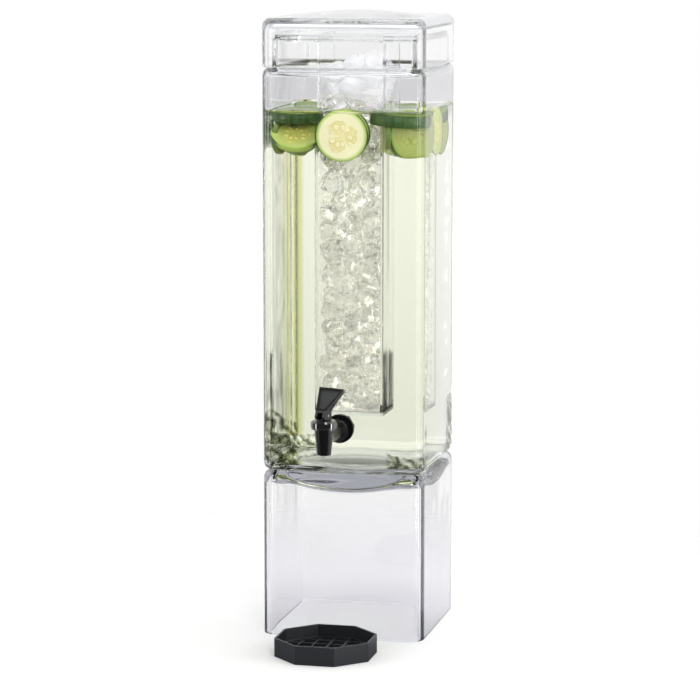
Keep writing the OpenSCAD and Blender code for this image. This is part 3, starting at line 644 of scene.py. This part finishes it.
gloss_black, plain = start_finish("gloss_black")
moulded = plain.grain(ARM_WAVE).bump(ARM_WAVE_DEPTH, soft_edge(plain, EDGE_ROUND))
nozzle = 1 - plain.where().along("Y").rise(*NOZZLE_BEHIND)
end_finish(plain, plain.node("ShaderNodeBsdfPrincipled", {}, {
    "Base Color": BLACK, "Roughness": plain.patchy(ARM_PATCH, *ARM_ROUGH), "IOR": MOULDED_INDEX,
    "Specular IOR Level": ARM_GLOSS, "Coat Weight": nozzle, "Coat Roughness": NOZZLE_ROUGH,
    "Normal": moulded}))
for name in ("tap_body", "shank_nut"):
    dress(name, gloss_black)

COLLAR_PATCH, COLLAR_ROUGH, COLLAR_INDEX = 9 * MM, (0.03, 0.04), 2.4
polished_black, plain = start_finish("polished_black")
end_finish(plain, plain.node("ShaderNodeBsdfPrincipled", {}, {
    "Base Color": BLACK, "Roughness": plain.patchy(COLLAR_PATCH, *COLLAR_ROUGH), "IOR": COLLAR_INDEX,
    "Normal": soft_edge(plain, EDGE_ROUND)}))
dress("tap_bonnet", polished_black)

# Lever: moulded in satin black plastic, with a dull dish in the face of its flared paddle, whose lighter grey
# is partly its dull grain and partly painted light. Its forked cam foot stands on the collar and turns on a
# steel pin through the stem.
LEVER_GRAIN, LEVER_GRAIN_DEPTH, LEVER_PATCH, LEVER_ROUGH = 0.5 * MM, 0.03 * MM, 10 * MM, (0.22, 0.1)
LEVER_TURN, LEVER_PIN, DISH_LEAN, DISH_OFF = math.radians(20), (0, -165, 258.6), math.radians(45), 6.885
DISH_GREY_AND_LIGHT, DISH_EDGE, DISH_ROUGH = (0.04, 0.042, 0.042, 1), (0.3 * MM, 0.7 * MM), 0.25
satin_black, plain = start_finish("satin_black")
fine = plain.grain(LEVER_GRAIN).bump(LEVER_GRAIN_DEPTH, soft_edge(plain, EDGE_ROUND))
across = (-math.sin(LEVER_TURN) * math.sin(DISH_LEAN), -math.cos(LEVER_TURN) * math.sin(DISH_LEAN),
          math.cos(DISH_LEAN))
off_pin = plain.node("ShaderNodeVectorMath", {"operation": "SUBTRACT"},
                     {0: plain.where(), 1: Vector(LEVER_PIN) * MM})
height = plain.node("ShaderNodeVectorMath", {"operation": "DOT_PRODUCT"}, {0: off_pin, 1: across}, "Value")
# The dish is greyer and rougher: partly its dull grain, partly painted light on the face.
dish = 1 - plain.work("ABSOLUTE", height - DISH_OFF * MM).rise(*DISH_EDGE)
end_finish(plain, plain.node("ShaderNodeBsdfPrincipled", {}, {
    "Base Color": dish.tint(BLACK, DISH_GREY_AND_LIGHT),
    "Roughness": plain.patchy(LEVER_PATCH, *LEVER_ROUGH) + dish * DISH_ROUGH,
    "IOR": MOULDED_INDEX, "Normal": fine}))
dress("tap_handle", satin_black)

# Seals, stem and pin: two rubber washers that the nut squeezes against the glass, a stem moulded like the tap
# and the drawn steel pin that joins it to the lever.
SEAL_DRIFT, SEAL_PATCH, SEAL_ROUGH_MORE, SEAL_INDEX = 14 * MM, 6 * MM, 0.15, 1.48


def dull_finish(name, colour, second, rough, grain, depth):
    """A moulded surface whose colour drifts a little between two shades over a fine grain."""
    made, plain = start_finish(name)
    end_finish(plain, plain.node("ShaderNodeBsdfPrincipled", {}, {
        "Base Color": plain.grain(SEAL_DRIFT, ROUGH).tint(colour, second),
        "Roughness": plain.patchy(SEAL_PATCH, rough, SEAL_ROUGH_MORE), "IOR": SEAL_INDEX,
        "Normal": plain.grain(grain).bump(depth)}))
    return made


seal_rubber = dull_finish("seal_rubber", colour=(0.02, 0.02, 0.021, 1), second=(0.03, 0.03, 0.03, 1),
                          rough=0.6, grain=0.4 * MM, depth=0.02 * MM)
for name in ("outer_washer", "inner_washer"):
    dress(name, seal_rubber)
dress("valve_stem", gloss_black)
STEEL, STEEL_GRAIN, STEEL_ROUGH = (0.62, 0.61, 0.59, 1), 1 * MM, (0.2, 0.2)
drawn_steel, plain = start_finish("drawn_steel")
end_finish(plain, plain.node("ShaderNodeBsdfPrincipled", {}, {
    "Base Color": STEEL, "Metallic": 1.0, "Roughness": plain.patchy(STEEL_GRAIN, *STEEL_ROUGH, SOFT)}))
dress("handle_pin", drawn_steel)

# Spring and cup: a coil of steel wire that presses the stem's disc down, in a soft silicone cup whose pad
# closes the outlet. Both hang from the collar and stand for their solids.
SPOUT_AXIS, SPOUT_HEIGHT, STEM_TRAVEL = (0, -165), 232.5, 3.5


def yielding(name, points, faces, finish, stands_for):
    """A piece about the spout's axis, on the jar, that stands for a CAD node."""
    middle = np.array([*SPOUT_AXIS, SPOUT_HEIGHT])
    mesh = bpy.data.meshes.new(name)
    mesh.from_pydata(((np.array(points) + middle) * MM).tolist(), [], faces)
    mesh.polygons.foreach_set("use_smooth", [True] * len(mesh.polygons))
    made = place(name, mesh, finish, "jar", (stands_for,))
    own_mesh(made)


WIRE, COIL, COIL_TURNS, COIL_LOW, COIL_HIGH = 0.45, 4.5, 7, -0.83, 18.88
TURN_STEPS, WIRE_SIDES = 32, 12
wire, wound = [], COIL_TURNS * TURN_STEPS
for k in range(wound + 1):
    turn = 2 * math.pi * k / TURN_STEPS
    level = COIL_LOW + WIRE + (COIL_HIGH - COIL_LOW - 2 * WIRE) * k / wound
    for side in (2 * math.pi * i / WIRE_SIDES for i in range(WIRE_SIDES)):
        out = COIL + WIRE * math.cos(side)
        wire.append((out * math.cos(turn), out * math.sin(turn), level + WIRE * math.sin(side)))
loops = [[k * WIRE_SIDES + i for i in range(WIRE_SIDES)] for k in range(wound + 1)]
skin = [(a[i], b[i], b[i - WIRE_SIDES + 1], a[i - WIRE_SIDES + 1])
        for a, b in zip(loops, loops[1:]) for i in range(WIRE_SIDES)]
yielding("closing_spring", wire, skin + [loops[0], loops[-1][::-1]], drawn_steel,
         "valve_spring")

CUP_OUT, CUP_FLARE, CUP_FLANGE, CUP_IN, SOCKET, CUP_SIDES = 6.9, 7.5, 10.1, 5.9, 2.06, 48
CUP_LOW, SOCKET_FLOOR, CUP_FLOOR, FLARE_FROM, FLANGE_LOW, CUP_HIGH = -6.5, -4.51, -2.5, 12, 17.8, 19
CUP_PROFILE = [(0, CUP_LOW), (CUP_OUT, CUP_LOW), (CUP_OUT, FLARE_FROM), (CUP_FLARE, FLANGE_LOW),
               (CUP_FLANGE, FLANGE_LOW), (CUP_FLANGE, CUP_HIGH), (CUP_IN, CUP_HIGH), (CUP_IN, CUP_FLOOR),
               (SOCKET, CUP_FLOOR), (SOCKET, SOCKET_FLOOR), (0, SOCKET_FLOOR)]
soft_silicone = dull_finish("soft_silicone", colour=(0.72, 0.74, 0.72, 1), second=(0.78, 0.79, 0.77, 1),
                            rough=0.45, grain=0.6 * MM, depth=0.02 * MM)
cup, loops = [], []
for out, level in CUP_PROFILE:
    bearings = [2 * math.pi * k / CUP_SIDES for k in range(CUP_SIDES if out else 1)]
    loops.append([len(cup) + k for k in range(len(bearings))] * (1 if out else CUP_SIDES))
    cup += [(out * math.cos(b), out * math.sin(b), level) for b in bearings]
skin = [tuple(dict.fromkeys((a[k - 1], a[k], b[k], b[k - 1])))
        for a, b in zip(loops, loops[1:]) for k in range(CUP_SIDES)]
yielding("soft_cup", cup, skin, soft_silicone, "seat_cup")

# Drip tray: an eight-sided tray of satin slate plastic with a lattice that lifts out. It stands by itself in
# front of the pedestal, under the spout.
SLATE, SLATE_PALE, SLATE_DRIFT = (0.008, 0.0095, 0.0125, 1), (0.014, 0.017, 0.022, 1), 20 * MM
SLATE_EDGE, SLATE_GRAIN, SLATE_GRAIN_DEPTH = 0.7 * MM, 0.8 * MM, 0.05 * MM
SLATE_PATCH, SLATE_ROUGH, SLATE_INDEX = 9 * MM, (0.34, 0.14), 1.7
satin_slate, plain = start_finish("satin_slate")
fine = plain.grain(SLATE_GRAIN, ROUGH).bump(SLATE_GRAIN_DEPTH, soft_edge(plain, SLATE_EDGE))
end_finish(plain, plain.node("ShaderNodeBsdfPrincipled", {}, {
    "Base Color": plain.grain(SLATE_DRIFT, BROKEN).tint(SLATE, SLATE_PALE),
    "Roughness": plain.patchy(SLATE_PATCH, *SLATE_ROUGH), "IOR": SLATE_INDEX, "Normal": fine}))
dress("drip_tray", satin_slate)
dress("drip_grid", satin_slate)

# Floor: a round sheet of pale paper that fades into the white room. Glass and polished pieces show it greyer
# than the camera sees it, and darkest in front of the object. Through glass it also carries a painted shadow
# under the pedestal.
FLOOR_REACH, FLOOR_FADE, FLOOR_DROP, FLOOR_SIDES = 1.6, (0.3, 0.8), 0.2 * MM, 96
FLOOR_PAPER, FLOOR_FRONT = (0.95, 0.95, 0.95, 1), (-0.1, 0.1)
MIRRORED_FRONT, MIRRORED_BACK = (0.2, 0.2, 0.21, 1), (0.76, 0.76, 0.79, 1)
FLOOR_PAINTED_SHADOW, FLOOR_BEHIND, FLOOR_SHADOW_TO = (0.72, 0.71, 0.75, 1), (0.83, 0.82, 0.86, 1), (0.12, 0.25)
turns = [2 * math.pi * k / FLOOR_SIDES for k in range(FLOOR_SIDES)]
ring = [(FLOOR_REACH * math.cos(t), FLOOR_REACH * math.sin(t), -FLOOR_DROP) for t in turns]
floor_mesh = bpy.data.meshes.new("studio_floor")
floor_mesh.from_pydata(ring, [], [list(range(FLOOR_SIDES))])
floor_finish, plain = start_finish("studio_floor")
x, y = map(plain.where().along, "XY")
away = (x ** 2.0 + y ** 2.0) ** 0.5
# Painted shadow: seen through glass, the floor is darker near the middle, under the pedestal.
glass_side = away.rise(*FLOOR_SHADOW_TO).tint(FLOOR_PAINTED_SHADOW, FLOOR_BEHIND)
mirror_side = y.rise(*FLOOR_FRONT).tint(MIRRORED_FRONT, MIRRORED_BACK)
paper = plain.node("ShaderNodeLightPath", out="Is Glossy Ray").tint(FLOOR_PAPER, mirror_side)
paper = plain.node("ShaderNodeLightPath", out="Is Transmission Ray").tint(paper, glass_side)
end_finish(plain, plain.node("ShaderNodeMixShader", {}, {
    0: away.rise(*FLOOR_FADE),
    1: plain.node("ShaderNodeBsdfPrincipled", {}, {
        "Base Color": paper, "Roughness": 1.0, "Specular IOR Level": 0.0}),
    2: plain.node("ShaderNodeBsdfTransparent", {}, {"Color": WHITE})}))
floor_mesh.materials.append(floor_finish)
floor = bpy.data.objects.new("studio_floor", floor_mesh)
bpy.context.scene.collection.objects.link(floor)

# Room: white to the camera, and dim in front to polished pieces. Glass shows it with soft dark upright flags
# and a slim one, a grey sky, a band of haze, a pale grey band and a low dark stand, which draw its edges.
ROOM_DIFFUSE, ROOM_FRONT, ROOM_BACK, ROOM_TURN = 0.62, 0.06, 0.96, (-0.25, 0.55)
FLAGS, FLAG_TURN, FLAG_EDGE, FLAG_DARK = 4, -7.5, (0.97, 0.982), 0.5
SLIM_AT, SLIM_WIDE, SLIM_DARK = 75.3, (0.1, 0.35), 0.5
HAZE, HAZE_FROM, HAZE_TO = (0.68, 0.68, 0.7, 1), (-0.071, -0.068), (-0.058, -0.053)
LOW_BAND, LOW_FROM, LOW_TO = (0.86, 0.87, 0.86, 1), (-0.19, -0.183), (-0.175, -0.08)
SKY, SKY_FROM, CEILING_FROM, CEILING_DARK = (0.8, 0.82, 0.85, 1), (0.03, 0.14), (0.4, 0.8), 0.1
FRONT_DARK, FRONT_TO = 0.7, (0, 0.1)
STAND_AT, STAND_WIDE, STAND_TOP, STAND_DARK = 77.6, (0.9, 1.5), (-0.149, -0.146), 0.95
STAND_RAGGED, STAND_GRAIN = 0.012, 40.0
world = bpy.data.worlds.new("studio_room")
bpy.context.scene.world = world
world.use_nodes = True
world.node_tree.nodes.clear()
plain = Signal(world.node_tree)
aim = plain.node("ShaderNodeTexCoord", out="Generated")
x, y, z = map(aim.along, "XYZ")
bearing = plain.work("ARCTAN2", y, x)
flag = (0 - plain.work("COSINE", (bearing - math.radians(FLAG_TURN)) * FLAGS)).rise(*FLAG_EDGE)
off_slim = plain.work("ABSOLUTE", bearing - math.radians(SLIM_AT)) * math.degrees(1)
flag = plain.work("MAXIMUM", flag * FLAG_DARK, (1 - off_slim.rise(*SLIM_WIDE)) * SLIM_DARK)
off_stand = plain.work("ABSOLUTE", bearing - math.radians(STAND_AT)) * math.degrees(1)
ragged = plain.node("ShaderNodeTexNoise", {}, {"Vector": aim, "Scale": STAND_GRAIN}, "Fac") - 0.5
stand = (1 - off_stand.rise(*STAND_WIDE)) * (1 - (z + ragged * STAND_RAGGED).rise(*STAND_TOP))
bounced = plain.work("MINIMUM", plain.node("ShaderNodeLightPath", out="Glossy Depth"), 1.0)
in_front = 1 - y.rise(*ROOM_TURN)
dim = (1 - flag) * (1 - z.rise(*CEILING_FROM) * CEILING_DARK) * (1 - stand * STAND_DARK)
dim = dim * (1 - bounced * in_front * (1 - z.rise(*FRONT_TO)) * FRONT_DARK)
seen = plain.node("ShaderNodeLightPath", out="Is Camera Ray")
through = plain.node("ShaderNodeLightPath", out="Is Transmission Ray")
mirrored = plain.node("ShaderNodeLightPath", out="Is Glossy Ray")
room_gloss = y.rise(*ROOM_TURN) * (ROOM_BACK - ROOM_FRONT) + ROOM_FRONT
level = mirrored * room_gloss + (1 - mirrored) * ROOM_DIFFUSE
level = through * dim + (1 - through) * level
level = seen + (1 - seen) * level
haze = z.rise(*HAZE_FROM) * (1 - z.rise(*HAZE_TO))
low = z.rise(*LOW_FROM) * (1 - z.rise(*LOW_TO))
backdrop = z.rise(*SKY_FROM).tint(haze.tint(low.tint(WHITE, LOW_BAND), HAZE), SKY)
background = plain.node("ShaderNodeBackground", {}, {
    "Color": (through * (1 - seen)).tint(WHITE, backdrop), "Strength": level})
plain.node("ShaderNodeOutputWorld", {}, {"Surface": background})

# Lamps: four soft boxes that all face the middle of the jar. One stands at the right of the camera, a tall
# narrow one on each side draws the lines of light on the black tap, and a wide one hangs overhead.
LAMP_AIM = Vector((0, 0, 0.33))
LAMPS = (
    ("key_box", (1.3, -2.4, 1.7), (0.8, 1.5), 26),
    ("left_box", (-2.4, -1.5, 0.5), (0.5, 2.4), 20),
    ("right_box", (2.7, -0.5, 0.5), (0.4, 2.4), 28),
    ("top_box", (0.2, 0.4, 2.6), (1.6, 1.6), 24),
)
for name, spot, size, power in LAMPS:
    lamp = bpy.data.lights.new(name, "AREA")
    lamp.shape, lamp.size, lamp.size_y, lamp.energy = "RECTANGLE", *size, power
    box = bpy.data.objects.new(name, lamp)
    box.location = spot
    box.rotation_euler = (LAMP_AIM - Vector(spot)).to_track_quat("-Z", "Y").to_euler()
    box.visible_camera = False
    bpy.context.scene.collection.objects.link(box)

# Camera: at the height of the lid and some three metres off, a little to the right of the tap. Its light goes
# through many walls of glass, so it needs more bounces than usual.
CAMERA_PLACE, CAMERA_BEARING, CAMERA_TILT = (0.7389, -3.2006, 0.7933), 13.179, 8.474
CAMERA_LENS, CAMERA_SENSOR, GLASS_BOUNCES = 155.54, 36, 40
camera = bpy.data.cameras.new("camera")
camera.lens, camera.sensor_width = CAMERA_LENS, CAMERA_SENSOR
camera_stand = bpy.data.objects.new("camera", camera)
camera_stand.location = CAMERA_PLACE
camera_stand.rotation_euler = Euler((math.radians(90 - CAMERA_TILT), 0, math.radians(CAMERA_BEARING)))
bpy.context.scene.collection.objects.link(camera_stand)
bpy.context.scene.camera = camera_stand
bpy.context.scene.view_settings.view_transform = "Standard"
bpy.context.scene.cycles.max_bounces = GLASS_BOUNCES
bpy.context.scene.cycles.glossy_bounces = GLASS_BOUNCES
bpy.context.scene.cycles.transmission_bounces = GLASS_BOUNCES
bpy.context.scene.cycles.transparent_max_bounces = GLASS_BOUNCES
